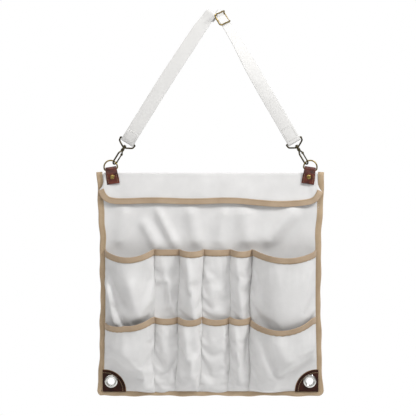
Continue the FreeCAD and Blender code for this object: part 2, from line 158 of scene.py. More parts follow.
# %% Make the woven finishes
def woven(name, dark, light, thread, turn=0.0, depth=0.25, twill=False):
    """Cotton cloth with threads of a given spacing in metres, turned in the panel's plane."""
    made, tree, shader = finish_of(name)
    place = add(tree, "ShaderNodeTexCoord")
    mapped = add(tree, "ShaderNodeMapping", Vector=place.outputs["Object"], Rotation=(0, turn, 0))
    bands = math.pi / 10 / thread
    across = add(tree, "ShaderNodeTexWave", {"bands_direction": "X"}, Vector=mapped.outputs[0],
                 Scale=bands, Distortion=0.6, Detail=1.0, Detail_Scale=2.0)
    down = add(tree, "ShaderNodeTexWave", {"bands_direction": "DIAGONAL" if twill else "Z"},
               Vector=mapped.outputs[0], Scale=bands, Distortion=0.6, Detail=1.0)
    weave = add(tree, "ShaderNodeMath", {"operation": "MULTIPLY"},
                i0=across.outputs["Fac"], i1=down.outputs["Fac"])
    cloud = add(tree, "ShaderNodeTexNoise", Vector=place.outputs["Object"], Scale=35.0, Detail=4.0)
    slub = add(tree, "ShaderNodeTexNoise", Vector=place.outputs["Object"], Scale=350.0, Detail=1.0)
    part = add(tree, "ShaderNodeMath", {"operation": "MULTIPLY_ADD"},
               i0=weave.outputs[0], i1=0.2, i2=cloud.outputs["Fac"])
    ramp = add(tree, "ShaderNodeMapRange", Value=part.outputs[0], From_Min=0.3, From_Max=0.95)
    tree.links.new(two_tone(tree, ramp.outputs[0], dark, light), shader.inputs["Base Color"])
    height = add(tree, "ShaderNodeMath", {"operation": "MULTIPLY_ADD"},
                 i0=slub.outputs["Fac"], i1=0.5, i2=weave.outputs[0])
    bump = add(tree, "ShaderNodeBump", Strength=depth, Distance=0.0004, Height=height.outputs[0])
    tree.links.new(bump.outputs[0], shader.inputs["Normal"])
    shader.inputs["Roughness"].default_value = 0.9
    shader.inputs["IOR"].default_value = 1.45
    shader.inputs["Sheen Weight"].default_value = 0.15
    return made


canvas = woven("plain_weave_canvas", "#cfcecd", "#dddcdb", 0.0011)
tape_cotton = woven("cotton_twill_tape", "#a18b70", "#bda78b", 0.0013, depth=0.35, twill=True)
tape_pale = woven("cotton_twill_tape_pale", "#a08a72", "#b8a38a", 0.0013, depth=0.35, twill=True)
webbing_left = woven("canvas_webbing_left", "#cccbc9", "#d3d2d0", 0.0014, turn=0.56, depth=0.04)
webbing_right = woven("canvas_webbing_right", "#cccbc9", "#d3d2d0", 0.0014, turn=-0.53, depth=0.04)
thread = woven("sewing_thread", "#94805f", "#a8946f", 0.0008)
thread_white = woven("white_thread", "#b9b8b5", "#c9c8c5", 0.0008)
print("the first woven finish,", canvas.name + ", has", len(canvas.node_tree.nodes), "nodes")


# %% [markdown]
# ## Leather
# Vegetable-tanned cowhide, dyed brown and lightly waxed. A cell pattern 1 mm across gives the
# grain's pebbles, and a slow noise darkens it unevenly. The wax gives a soft gloss.

# %% Make the leathers
def hide(name, dark, light, gloss, shine=0.5):
    """Dyed leather with a pebbled grain. gloss is its smoothest roughness."""
    made, tree, shader = finish_of(name)
    place = add(tree, "ShaderNodeTexCoord")
    grain = add(tree, "ShaderNodeTexVoronoi", {"feature": "SMOOTH_F1"}, Vector=place.outputs["Object"],
                Scale=900.0)
    cloud = add(tree, "ShaderNodeTexNoise", Vector=place.outputs["Object"], Scale=120.0, Detail=5.0)
    ramp = add(tree, "ShaderNodeMapRange", Value=cloud.outputs["Fac"], From_Min=0.35, From_Max=0.7)
    tree.links.new(two_tone(tree, ramp.outputs[0], dark, light), shader.inputs["Base Color"])
    bump = add(tree, "ShaderNodeBump", Strength=0.35, Distance=0.0004, Height=grain.outputs["Distance"])
    tree.links.new(bump.outputs[0], shader.inputs["Normal"])
    rough = add(tree, "ShaderNodeMapRange", Value=cloud.outputs["Fac"], To_Min=gloss, To_Max=gloss + 0.2)
    tree.links.new(rough.outputs[0], shader.inputs["Roughness"])
    shader.inputs["Specular IOR Level"].default_value = shine
    return made


tab_leather = hide("waxed_brown_leather", "#3a150e", "#6b3122", 0.25)
corner_leather = hide("dark_brown_leather", "#241009", "#3a1b11", 0.6, 0.2)
edge_leather = hide("burnished_leather_edge", "#7a5a38", "#96744c", 0.5)
print("grain pebbles", round(1000 / 900, 1), "mm across")


# %% [markdown]
# ## Metals
# The rings are brass with an aged skin: brown in the hollows, yellow where it is rubbed.
# The hooks are plated zinc, darkened to gunmetal. The grommets are nickel, turned and polished.

# %% Make the metals
def plated(name, dark, light, rough, scale=400.0):
    """A metal with a worn skin: dark in the hollows, light where it is rubbed."""
    made, tree, shader = finish_of(name)
    place = add(tree, "ShaderNodeTexCoord")
    wear = add(tree, "ShaderNodeTexNoise", Vector=place.outputs["Object"], Scale=scale, Detail=4.0)
    ramp = add(tree, "ShaderNodeMapRange", Value=wear.outputs["Fac"], From_Min=0.35, From_Max=0.65)
    tree.links.new(two_tone(tree, ramp.outputs[0], dark, light), shader.inputs["Base Color"])
    gloss = add(tree, "ShaderNodeMapRange", Value=wear.outputs["Fac"], To_Min=rough, To_Max=rough + 0.15)
    tree.links.new(gloss.outputs[0], shader.inputs["Roughness"])
    shader.inputs["Metallic"].default_value = 1.0
    return made


brass = plated("aged_brass", "#6a5a30", "#a8925a", 0.28)
gunmetal = plated("gunmetal_plate", "#2e2a20", "#5e5640", 0.28)
nickel = plated("polished_nickel", "#b9b8b4", "#e6e5e1", 0.14, scale=120.0)
print("metals:", brass.name, gunmetal.name, nickel.name)


# %% [markdown]
# ## Helpers for shapes
# Cloth is a grid of points with a thickness. The helper below takes a grid, offsets it both ways
# along its normals, and closes the rim, so every sheet is a closed mesh that exports cleanly.

# %% Cloth helpers
def piece(name, points, faces, finish, body, slot, smooth=True):
    """Makes a mesh object that rides on a body, with the finish it is given. slot is not used."""
    mesh = bpy.data.meshes.new(name)
    mesh.from_pydata([tuple(p) for p in points], [], [tuple(f) for f in faces])
    mesh.validate()
    mesh.polygons.foreach_set("use_smooth", [smooth] * len(mesh.polygons))
    mesh.materials.append(finish)
    made = bpy.data.objects.new(name, mesh)
    bpy.context.scene.collection.objects.link(made)
    if body:
        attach(made, body)
    return made


def grid_normals(grid):
    """Unit normals of a grid of points, rows by columns."""
    along = np.gradient(grid, axis=1)
    down = np.gradient(grid, axis=0)
    normal = np.cross(down, along)
    return normal / np.maximum(np.linalg.norm(normal, axis=2, keepdims=True), 1e-12)


def cloth_mesh(grid, thick, keep=None):
    """Points and faces of a sheet with a thickness. keep says which cells are cloth."""
    rows, cols = grid.shape[:2]
    normal = grid_normals(grid)
    points = np.concatenate([(grid + normal * thick / 2).reshape(-1, 3),
                             (grid - normal * thick / 2).reshape(-1, 3)])
    other = rows * cols
    cells = np.ones((rows - 1, cols - 1), bool) if keep is None else keep
    faces, edges = [], {}
    for i, j in zip(*np.nonzero(cells)):
        a = i * cols + j
        ring = (a, a + 1, a + cols + 1, a + cols)
        faces.append(ring)
        faces.append(tuple(k + other for k in reversed(ring)))
        for p, q in zip(ring, ring[1:] + ring[:1]):
            if (q, p) in edges:
                del edges[(q, p)]
            else:
                edges[(p, q)] = True
    faces += [(q, p, p + other, q + other) for p, q in edges]
    used = sorted({k for face in faces for k in face})
    index = {k: n for n, k in enumerate(used)}
    return points[used], [tuple(index[k] for k in face) for face in faces]


trial = np.array([[(0, 0, 0), (1, 0, 0), (2, 0, 0)], [(0, 0, 1), (1, 0, 1), (2, 0, 1)]], float)
print("a sheet of two cells has", len(cloth_mesh(trial, 0.1)[1]), "faces")


# %% [markdown]
# Wire, webbing and tape are sweeps: a closed section is carried along a smooth path. A path is
# drawn through a few points, as a bender's jig holds a wire, and a curve joins them.

# %% Sweep helpers
def smooth_path(points, steps=8, closed=False):
    """A Catmull-Rom curve through a few points."""
    p = np.array(points, float)
    if closed:
        p = np.concatenate([p[-1:], p, p[:2]])
    else:
        p = np.concatenate([2 * p[:1] - p[1:2], p, 2 * p[-1:] - p[-2:-1]])
    out = []
    for a, b, c, d in zip(p, p[1:], p[2:], p[3:]):
        for t in np.arange(steps) / steps:
            out.append(0.5 * (2 * b + (c - a) * t + (2 * a - 5 * b + 4 * c - d) * t ** 2
                              + (3 * b - a - 3 * c + d) * t ** 3))
    if not closed:
        out.append(p[-2])
    return np.array(out)


def frames_along(path, side, closed=False):
    """A side vector and a second one at each point, square to the path."""
    run = np.gradient(path, axis=0)
    if closed:
        run = np.roll(path, -1, axis=0) - np.roll(path, 1, axis=0)
    run /= np.linalg.norm(run, axis=1, keepdims=True)
    side = np.broadcast_to(np.array(side, float), path.shape)
    side = side - run * (side * run).sum(1, keepdims=True)
    side = side / np.linalg.norm(side, axis=1, keepdims=True)
    return side, np.cross(run, side)


def swept(path, side, section, closed=False):
    """Points and faces of a closed section carried along a path."""
    u, v = frames_along(path, side, closed)
    count = len(section)
    rings = [p + s[0] * a + s[1] * b for p, a, b in zip(path, u, v) for s in section]
    faces = []
    turns = len(path) if closed else len(path) - 1
    for i in range(turns):
        first, second = i * count, (i + 1) % len(path) * count
        for k in range(count):
            nxt = (k + 1) % count
            faces.append((first + k, first + nxt, second + nxt, second + k))
    if not closed:
        faces.append(tuple(reversed(range(count))))
        faces.append(tuple(range(len(rings) - count, len(rings))))
    return rings, faces


def round_section(radius, sides=14):
    """A wire's section."""
    turns = np.arange(sides) / sides * 2 * math.pi
    return [(radius * math.cos(t), radius * math.sin(t)) for t in turns]


def flat_section(width, thick, edge=5):
    """A flat strip's section with rounded edges."""
    out = []
    for end, start in ((1, -90), (-1, 90)):
        for t in np.radians(np.linspace(start, start + 180, edge)):
            out.append((end * (width / 2 - thick / 2) + thick / 2 * math.cos(t), thick / 2 * math.sin(t)))
    return out


print("a flat strip's section has", len(flat_section(0.025, 0.0017)), "points")


# %% [markdown]
# Turned parts, such as rivet heads and grommets, are a profile carried round an axis. Stitches are
# short threads laid along a path, each dipping into the cloth at both ends.

# %% Turned and sewn helpers
def joined(parts):
    """Several (points, faces) as one."""
    points, faces, count = [], [], 0
    for some, cells in parts:
        points.extend(some)
        faces.extend(tuple(k + count for k in f) for f in cells)
        count += len(some)
    return points, faces


def turned(profile, centre, sides=48):
    """A profile of (radius, y) turned about an axis along Y through a centre."""
    points, faces = [], []
    for t in np.arange(sides) / sides * 2 * math.pi:
        points += [(centre[0] + r * math.cos(t), centre[1] + y, centre[2] + r * math.sin(t))
                   for r, y in profile]
    count = len(profile)
    for i in range(sides):
        a, b = i * count, (i + 1) % sides * count
        for k in range(count):
            nxt = (k + 1) % count
            faces.append((a + k, a + nxt, b + nxt, b + k))
    return points, faces


def stitches(path, side, length=0.0026, gap=0.0014, radius=0.00035, lift=0.0002):
    """A row of short threads along a path, just proud of the cloth."""
    steps = np.concatenate([[0], np.cumsum(np.linalg.norm(np.diff(path, axis=0), axis=1))])
    spots = np.arange(gap, steps[-1] - length, length + gap)
    out = []
    for start in spots:
        at = [start, start + length * 0.25, start + length * 0.75, start + length]
        line = np.stack([np.interp(at, steps, path[:, k]) for k in range(3)], axis=1)
        line += np.array(side) * (lift * np.array([-1, 1, 1, -1]))[:, None]
        out.append(swept(line, (0.3, -0.9, 0.4), round_section(radius, 6)))
    return joined(out)


trial_points, _ = stitches(np.array([(0.0, 0.0, 0.0), (0.1, 0.0, 0.0)]), (0, -1, 0))
print("100 mm of seam takes", len(trial_points) // 24, "stitches")


# %% [markdown]
# ## The panel's outline
# A hung panel is never a true rectangle. Its bound sides pull in where the pockets draw the cloth
# forward, and spread at the top and the foot.

# %% Outline
WAIST = 0.1989
SPREAD = 0.0063


def edge(height):
    """The outer half width of the bound panel at a height."""
    return WAIST + SPREAD * ((np.asarray(height) - 0.195) / 0.205) ** 2


def ripple(x, z, seed, size):
    """A smooth, repeatable unevenness: a few waves at odd angles."""
    draw = np.random.default_rng(seed)
    total = np.zeros(np.broadcast(x, z).shape)
    for _ in range(6):
        angle, phase, pitch = draw.uniform(0, math.pi), draw.uniform(0, 6.28), draw.uniform(0.6, 1.6)
        total += np.sin((x * math.cos(angle) + z * math.sin(angle)) / size * pitch * 6.28 + phase)
    return total / 6


SIDES = (("left", -1), ("right", 1))
HOLES = []
for name, side in SIDES:
    low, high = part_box(f"{name}_grommet")
    HOLES.append(((low.x + high.x) / 2 - MIDDLE, (low.z + high.z) / 2 - BOTTOM))
print("grommet holes at", [(round(x, 4), round(height, 4)) for x, height in HOLES])


def clear_of_holes(grid, radius=0.0088):
    """Which cells of a grid are not inside a grommet's hole."""
    middle = (grid[1:, 1:] + grid[:-1, :-1]) / 2
    keep = np.ones(middle.shape[:2], bool)
    for x, height in HOLES:
        hole = spot(x, 0, height)
        far = np.hypot(middle[:, :, 0] - hole[0], middle[:, :, 2] - hole[2])
        keep &= far > radius
    return keep


# %% [markdown]
# ## The back panel
# One cut of canvas, sewn in along its sides and foot and folded over at the top. Between the flap
# and the pockets it is free, and the weight in the pockets draws slanting folds in it.

# %% Make the back panel
def fold_line(x, z, start, end, width, height):
    """A soft ridge along a line from start to end, fading at both ends."""
    run = np.array(end) - np.array(start)
    size = np.linalg.norm(run)
    run = run / size
    along = (x - start[0]) * run[0] + (z - start[1]) * run[1]
    off = -(x - start[0]) * run[1] + (z - start[1]) * run[0]
    fade = np.clip(np.minimum(along, size - along) / (0.25 * size), 0, 1)
    return height * np.exp(-(off / width) ** 2) * fade * fade * (3 - 2 * fade)


PANEL_FOLDS = [((-0.100, 0.345), (-0.058, 0.262), 0.0075, 0.0065),
               ((-0.128, 0.325), (-0.088, 0.258), 0.010, 0.0050),
               ((-0.040, 0.350), (-0.022, 0.262), 0.012, 0.0045),
               ((0.030, 0.345), (0.012, 0.262), 0.012, 0.0045),
               ((0.060, 0.350), (0.070, 0.262), 0.016, 0.0060),
               ((0.165, 0.352), (0.085, 0.262), 0.014, 0.0070),
               ((-0.150, 0.350), (-0.170, 0.262), 0.012, 0.0040)]


def make_panel():
    """The panel's sheet, with its folds kept off the seams and the bound edges."""
    u = np.linspace(-1, 1, 131)
    heights = np.linspace(0.004, TOP - 0.0005, 136)
    uu, zz = np.meshgrid(u, heights[::-1])
    xx = uu * (edge(zz) - 0.004)
    push = ripple(xx, zz, 3, 0.09) * 0.0012
    for start, end, width, height in PANEL_FOLDS:
        push = push + fold_line(xx, zz, start, end, width, height)
    calm = np.clip((1 - np.abs(uu)) / 0.08, 0, 1) * np.clip((TOP - 0.02 - zz) / 0.03, 0, 1)
    calm *= np.clip((zz - 0.250) / 0.03, 0, 1)
    grid = np.stack([MIDDLE + xx, (FRONT + BACK) / 2 - push * calm, BOTTOM + zz], axis=2)
    points, faces = cloth_mesh(grid, CLOTH, clear_of_holes(grid))
    made = piece("back_panel_canvas", points, faces, canvas, "panel", "canvas")
    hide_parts("back_panel")
    width, length = 2 * HALF + 2 * (TAPE - 0.004), TOP - 0.0045
    print("back panel", len(points), "points; flat", round(width, 3), round(length, 3))


make_panel()


# %% [markdown]
# ## Binding tape on the sides and foot
# A cotton tape 22 mm wide is folded over the raw edge and sewn through. It is one length: down the
# left side, round the foot's two corners and up the right side. Its section is a long thin loop
# with a dip where the needle pulls it flat, swept along that line. A row of thread lies in the dip.

# %% Make the edge tape
def folded_section(width, thick):
    """The section of a folded tape, with +x at its outer fold and a sewn dip on each face."""
    half = thick / 2
    face = [(-0.5, 0.70), (-0.47, 0.86), (-0.34, 0.84), (-0.24, 0.66), (-0.14, 0.86), (0.05, 1.02),
            (0.25, 1.10), (0.38, 1.02), (0.46, 0.72), (0.5, 0.0)]
    front = [(x * width, y * half) for x, y in face]
    return front + [(x, -y) for x, y in reversed(front[:-1])]


def tape_path(inset, bend=0.009):
    """The tape's line round three sides, a distance in from its outer edge."""
    tall = np.linspace(tape_high.z - BOTTOM, bend, 70)
    left = [(-(edge(h) - inset) - 0.0007 * math.sin(h * 61) - 0.0006 * math.sin(h * 143 + 1), h)
            for h in tall]
    right = [(edge(h) - inset + 0.0007 * math.sin(h * 53 + 2) + 0.0005 * math.sin(h * 121), h)
             for h in tall[::-1]]
    reach = edge(0) - inset - (bend - inset)
    turn = np.arange(1, 8) * math.pi / 16
    size = bend - inset
    first = [(-reach - size * math.cos(t), bend - size * math.sin(t)) for t in turn]
    xs = np.linspace(-reach, reach, 90)
    foot = [(x, inset + 0.0008 * math.sin(x * 62 + 1) + 0.0005 * math.sin(x * 151)) for x in xs]
    second = [(reach + size * math.sin(t), bend - size * math.cos(t)) for t in turn]
    return np.array(left + first + foot + second + right)


def make_edge_tape():
    """The folded tape round three sides, and its row of thread."""
    thick = tape_high.y - tape_low.y
    middle_y = (tape_high.y + tape_low.y) / 2
    flat_line = tape_path(TAPE / 2)
    path = np.array([spot(x, middle_y + 0.0002 * math.sin(k * 0.9), h)
                     for k, (x, h) in enumerate(flat_line)])
    run = np.gradient(path, axis=0)
    outward = np.cross(run, np.array([0.0, 1.0, 0.0]))
    outward[:, 1] = 0
    if outward[0, 0] > 0:
        outward = -outward
    points, faces = swept(path, outward, folded_section(TAPE, thick))
    made = piece("edge_tape_cotton", points, faces, tape_cotton, "panel", "binding")
    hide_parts("left_side_tape", "right_side_tape", "bottom_tape")
    outward /= np.linalg.norm(outward, axis=1, keepdims=True)
    row = path - outward * TAPE * 0.24 + np.array([0, -thick * 0.34, 0])
    piece("edge_stitches", *stitches(row, (0, -1, 0)), thread, "panel", "binding")
    length = np.linalg.norm(np.diff(path, axis=0), axis=1).sum()
    print("edge tape", round(length, 3), "m long,", round(TAPE, 4), "m wide once folded")


make_edge_tape()


# %% [markdown]
# ## The pockets
# Each row is one long strip of canvas. It is sewn to the panel at every seam and along its foot,
# and bows forward between seams. The bow is a flattened ellipse, deeper where a big thing goes in.
# The mouth sags between its seams by its own weight, and each pocket has its own creases. A grid of
# points drawn by formula gives all this in one sheet, so the seams can't come apart.

# %% Say how each pocket hangs
def mouth_of(row):
    """The height of a row's mouth at its seams."""
    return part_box(f"{row}_mouth_tape_3")[1].z - BOTTOM


def depths_of(row):
    """How far each pocket bows. Where nothing thick goes in, the cloth lies flatter than its frame."""
    slack = [1.0, 0.5, 1.25, 0.45, 1.1, 1.0]
    return [(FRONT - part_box(f"{row}_mouth_tape_{i}")[0].y) * slack[i - 1] for i in range(1, 7)]


ROWS = {
    "upper": {"mouth": mouth_of("upper"), "foot": 0.100, "depth": depths_of("upper"),
              "sag": [0.0125, 0.000, 0.003, 0.001, 0.003, 0.013], "lean": [-0.05, 0, 0, 0, 0, 0.05],
              "flat": [2.0, 2.0, 2.3, 2.1, 2.2, 2.1]},
    "lower": {"mouth": mouth_of("lower"), "foot": 0.009, "depth": depths_of("lower"),
              "sag": [0.0125, 0.003, 0.004, 0.005, 0.003, 0.020], "lean": [-0.1, 0, 0, 0.1, 0, -0.12],
              "flat": [2.3, 2.0, 2.3, 2.2, 2.2, 2.2]},
}
# Rows of points below the mouth, in metres, that carry the bound edge, and rows below those.
TAPE_ROWS = [0.0, 0.0012, 0.0035, 0.0060, 0.0085, 0.0105]
WALL_ROWS = 34
PER_POCKET = [34, 22, 20, 24, 20, 40]
# How far each seam has moved sideways at the foot.
SEAM_LEAN = [0.0, 0.0, -0.0065, -0.0075, -0.0050, -0.0065, 0.0]
for row, plan in ROWS.items():
    print(row, "row: mouth at", round(plan["mouth"], 4), "depths", [round(d, 4) for d in plan["depth"]])


# %% [markdown]
# ### Drawing the strips
# Across a pocket, the columns follow the flattened ellipse, so they are closest where it turns
# most, at the seams. Down the strip, the bow fades to nothing at the sewn foot.

# %% Draw a strip
def pocket_grid(row):
    """The strip's middle surface: rows go down from the mouth, columns run across all six pockets."""
    plan = ROWS[row]
    gap = 0.0005
    sway = np.random.default_rng(5 if row == "upper" else 9).uniform(0, 6.28, 7)
    columns = []
    for i, count in enumerate(PER_POCKET):
        left, right = SEAMS[i], SEAMS[i + 1]
        angle = np.linspace(math.pi, 0, count)
        squash = np.sign(np.cos(angle)) * np.abs(np.cos(angle)) ** (2 / plan["flat"][i])
        for t, s in zip(angle, squash):
            columns.append((i, left, right, s, math.sin(t)))
        if i < 5:
            columns[-1] = (i, left, right, 1 - gap / (right - left), 0.03)
    mouth, foot = plan["mouth"], plan["foot"]
    out = []
    walls = np.linspace(TAPE_ROWS[-1] + 0.003, mouth - foot, WALL_ROWS)
    for drop in np.concatenate([TAPE_ROWS, walls]):
        share = drop / (mouth - foot)
        line = []
        for i, left, right, s, bow in columns:
            depth = plan["depth"][i]
            sag = plan["sag"][i] * max(0.0, 1 - abs(s - plan["lean"][i]) ** 2.0)
            if i == 0 and row == "lower":
                sag += 0.010 * max(0.0, -s - 0.15)
            middle, half = (left + right) / 2, (right - left) / 2
            x = middle + s * half
            hem = 0.0022 * math.sin(x * 58 + 1) + 0.0012 * math.sin(s * 3 + i * 2)
            height = mouth - sag * (1 - share) ** 1.2 - drop - max(0.0, hem) * share ** 2
            close = (1 - share ** 7) ** 0.5
            size = depth * (1 - 0.38 * share) * close
            first = 0.0 if i == 0 else 0.0023 * math.sin(height * 47 + sway[i])
            second = 0.0 if i == 5 else 0.0023 * math.sin(height * 47 + sway[i + 1])
            x += (first * (1 - s) + second * (1 + s)) / 2 * share ** 0.5
            fall = 1 - height / ROWS["upper"]["mouth"]
            x += (SEAM_LEAN[i] * (1 - s) + SEAM_LEAN[i + 1] * (1 + s)) / 2 * fall
            outer = abs(x) / HALF
            x = x * (1 + (edge(height) - TAPE + 0.001 - HALF) / HALF * outer ** 3)
            line.append((x, size * bow, height))
        out.append(line)
    return np.array(out), columns


def corner_flat(x, height):
    """1 on open cloth, falling to 0 under a leather corner."""
    far = np.hypot(HALF + 0.004 - np.abs(x), height - 0.006)
    return np.clip((far - 0.052) / 0.03, 0, 1)


# %% Draw the creases
# Each crease runs from one point to another, with a width and a height in metres.
CREASES = {
    "upper": [((-0.190, 0.252), (-0.145, 0.150), 0.009, -0.013),
              ((-0.150, 0.225), (-0.118, 0.130), 0.013, 0.009),
              ((-0.185, 0.215), (-0.160, 0.120), 0.007, 0.010),
              ((-0.172, 0.180), (-0.140, 0.105), 0.006, -0.009),
              ((-0.116, 0.250), (-0.108, 0.140), 0.009, -0.006),
              ((-0.090, 0.258), (-0.064, 0.140), 0.007, 0.006),
              ((-0.075, 0.240), (-0.090, 0.130), 0.006, -0.005),
              ((-0.045, 0.262), (-0.026, 0.120), 0.008, 0.007),
              ((-0.008, 0.240), (0.012, 0.130), 0.007, 0.006),
              ((0.020, 0.262), (0.030, 0.150), 0.006, -0.005),
              ((0.046, 0.258), (0.060, 0.120), 0.007, 0.006),
              ((0.086, 0.258), (0.100, 0.110), 0.010, -0.006),
              ((0.178, 0.252), (0.168, 0.120), 0.010, 0.004)],
    "lower": [((-0.112, 0.125), (-0.104, 0.012), 0.009, -0.007),
              ((-0.160, 0.110), (-0.130, 0.030), 0.016, 0.004),
              ((-0.088, 0.138), (-0.070, 0.012), 0.007, 0.006),
              ((-0.070, 0.130), (-0.094, 0.015), 0.006, -0.005),
              ((-0.050, 0.138), (-0.028, 0.008), 0.008, 0.007),
              ((-0.030, 0.120), (-0.048, 0.012), 0.005, -0.004),
              ((-0.010, 0.135), (-0.002, 0.010), 0.006, -0.005),
              ((0.030, 0.138), (0.014, 0.012), 0.008, 0.005),
              ((0.042, 0.135), (0.056, 0.010), 0.006, 0.006),
              ((0.068, 0.130), (0.058, 0.012), 0.005, -0.004),
              ((0.084, 0.132), (0.130, 0.020), 0.009, -0.007),
              ((0.110, 0.118), (0.160, 0.030), 0.014, 0.006)],
}
print("creases:", {row: len(lines) for row, lines in CREASES.items()})

# %% Crease both strips
pocket_cloth = {}
for row in ROWS:
    local, columns = pocket_grid(row)
    x, y, height = local[..., 0], local[..., 1], local[..., 2]
    strength = np.clip(y / 0.012, 0, 1)
    for start, end, width, push in CREASES[row]:
        y = y + fold_line(x, height, start, end, width, push) * strength
    y = y + ripple(x, height, 11 if row == "upper" else 17, 0.05) * 0.0009 * strength
    if row == "lower":
        y = y * corner_flat(x, height)
    y = np.maximum(y, 0.0006)
    pocket_cloth[row] = np.stack([MIDDLE + x, FRONT - y, BOTTOM + height], axis=2)
    print(row, "pocket strip", pocket_cloth[row].shape)


# %% [markdown]
# ### Settling the cloth
# The strip above is still a draughtsman's shape. Blender's cloth solver lets it settle: the seams
# and the foot are pinned fast, the bound mouth is held firm and the rest loosely, and a little spare
# cloth is let in, so it buckles where real canvas would. The result is read back as plain points.

# %% Settle the strips
def settle(grid, hold, frames=18, spare=-0.03):
    """Runs the cloth solver on a grid, and returns the settled grid. hold is 1 where it is fast."""
    rows, cols = grid.shape[:2]
    cells = [(i * cols + j, i * cols + j + 1, (i + 1) * cols + j + 1, (i + 1) * cols + j)
             for i in range(rows - 1) for j in range(cols - 1)]
    mesh = bpy.data.meshes.new("settling")
    mesh.from_pydata([tuple(p) for p in grid.reshape(-1, 3)], [], cells)
    cloth = bpy.data.objects.new("settling", mesh)
    bpy.context.scene.collection.objects.link(cloth)
    group = cloth.vertex_groups.new(name="hold")
    for index, weight in enumerate(hold.reshape(-1)):
        group.add([index], float(weight), "REPLACE")
    solver = cloth.modifiers.new("cloth", "CLOTH")
    solver.settings.quality = 8
    solver.settings.mass = 0.35
    solver.settings.tension_stiffness = 40
    solver.settings.compression_stiffness = 40
    solver.settings.shear_stiffness = 20
    solver.settings.bending_stiffness = 6
    solver.settings.vertex_group_mass = "hold"
    solver.settings.pin_stiffness = 3
    solver.settings.shrink_min = spare
    solver.collision_settings.use_collision = False
    solver.point_cache.frame_end = frames + 1
    for number in range(1, frames + 1):
        bpy.context.scene.frame_set(number)
    depsgraph = bpy.context.evaluated_depsgraph_get()
    shown = cloth.evaluated_get(depsgraph).to_mesh()
    flat = np.zeros(len(shown.vertices) * 3, np.float32)
    shown.vertices.foreach_get("co", flat)
    bpy.data.objects.remove(cloth)
    bpy.data.meshes.remove(mesh)
    bpy.context.scene.frame_set(1)
    return flat.reshape(rows, cols, 3).astype(float)


def seam_hold(columns, shape, loose=0.06):
    """Fast at each seam and along the foot, firm at the bound mouth, and loose elsewhere."""
    hold = np.full(shape, loose)
    bound = len(TAPE_ROWS)
    hold[:bound, :] = 0.95
    hold[bound:bound + 5, :] = np.linspace(0.7, 0.2, 5)[:, None]
    for j, column in enumerate(columns):
        if abs(column[3]) > 0.985:
            hold[:, j] = 1
    hold[-2:, :] = 1
    return hold


for row in ROWS:
    columns = pocket_grid(row)[1]
    rest = pocket_cloth[row]
    hold = seam_hold(columns, rest.shape[:2])
    flat = corner_flat(rest[..., 0] - MIDDLE, rest[..., 2] - BOTTOM) < 0.3
    hold = np.maximum(hold, np.where(flat & (row == "lower"), 1.0, 0.0))
    moved = settle(rest, hold)
    step = np.clip(moved - rest, -0.007, 0.007)
    new = rest + step
    new[..., 1] = np.minimum(new[..., 1], FRONT - 0.0005)
    new[..., 1] = np.maximum(new[..., 1], cad_box[0][1] - 0.004)
    pocket_cloth[row] = new
    print(row, "settled by up to", round(float(np.abs(step).max()) * 1000, 2), "mm")


# %% [markdown]
# ### Sewing on the strips
# The settled grid gets its thickness, and its top rows become the tape that binds the mouth. The
# needle's rows show as short threads: one on each mouth, and one on the back along every seam.

# %% Make the strips and their mouth tapes
WALL = 0.0011
MOUTH_TAPE = 0.0026
SEWN_DEPTH = FRONT + 0.0002


def strip_area(grid):
    """A sheet's mean length across, its mean drop and its area."""
    across = np.linalg.norm(np.diff(grid, axis=1), axis=2).sum(1).mean()
    down = np.linalg.norm(np.diff(grid, axis=0), axis=2).sum(0).mean()
    cells = np.cross(grid[1:, 1:] - grid[:-1, :-1], grid[1:, :-1] - grid[:-1, 1:])
    return across, down, float(np.linalg.norm(cells, axis=2).sum() / 2)


def make_strip(row):
    """One row's canvas, its mouth tape and its thread."""
    grid = pocket_cloth[row]
    points, faces = cloth_mesh(grid, WALL, clear_of_holes(grid))
    points[:, 1] = np.minimum(points[:, 1], SEWN_DEPTH)
    made = piece(f"{row}_pocket_canvas", points, faces, canvas, "panel", "canvas")
    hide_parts(*[f"{row}_pocket_{i}" for i in range(1, 7)])
    across, down, area = strip_area(grid)
    flat = (across * 1.02, max(down, area / across) * 1.02)
    tape_rows = len(TAPE_ROWS)
    band = grid[:tape_rows].copy()
    lift = np.zeros_like(band[:1])
    lift[..., 2] = 0.0009
    band = np.concatenate([band[:1] + lift, band])
    points, faces = cloth_mesh(band, MOUTH_TAPE)
    points[:, 1] = np.minimum(points[:, 1], SEWN_DEPTH)
    tape = piece(f"{row}_mouth_tape_cotton", points, faces, tape_pale, "panel", "binding")
    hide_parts(*[f"{row}_mouth_tape_{i}" for i in range(1, 7)])
    normal = grid_normals(grid)[tape_rows - 2]
    front = normal if normal[:, 1].mean() < 0 else -normal
    line = grid[tape_rows - 2] + front * MOUTH_TAPE * 0.5
    sewn = piece(f"{row}_mouth_stitches", *stitches(line, (0, -1, 0)), thread, "panel", "binding")
    print(row, "strip flat", round(flat[0], 3), round(flat[1], 3), "area", round(area, 4))


for row in ROWS:
    make_strip(row)


def make_seam_stitches():
    """The rows of thread that show on the panel's back, where the pockets are sewn on."""
    upper, lower = ROWS["upper"], ROWS["lower"]
    rows = []
    for x, lean in list(zip(SEAMS, SEAM_LEAN))[1:-1]:
        line = [spot(x + lean * (1 - h / upper["mouth"]), BACK + 0.0001, h)
                for h in np.linspace(lower["foot"], upper["mouth"], 60)]
        rows.append(stitches(np.array(line), (0, 1, 0)))
    foot = [spot(x, BACK + 0.0001, upper["foot"]) for x in np.linspace(-HALF, HALF, 100)]
    rows.append(stitches(np.array(foot), (0, 1, 0)))
    piece("seam_stitches", *joined(rows), thread_white, "panel", "canvas")
    print("seam stitches:", len(rows), "rows")


make_seam_stitches()
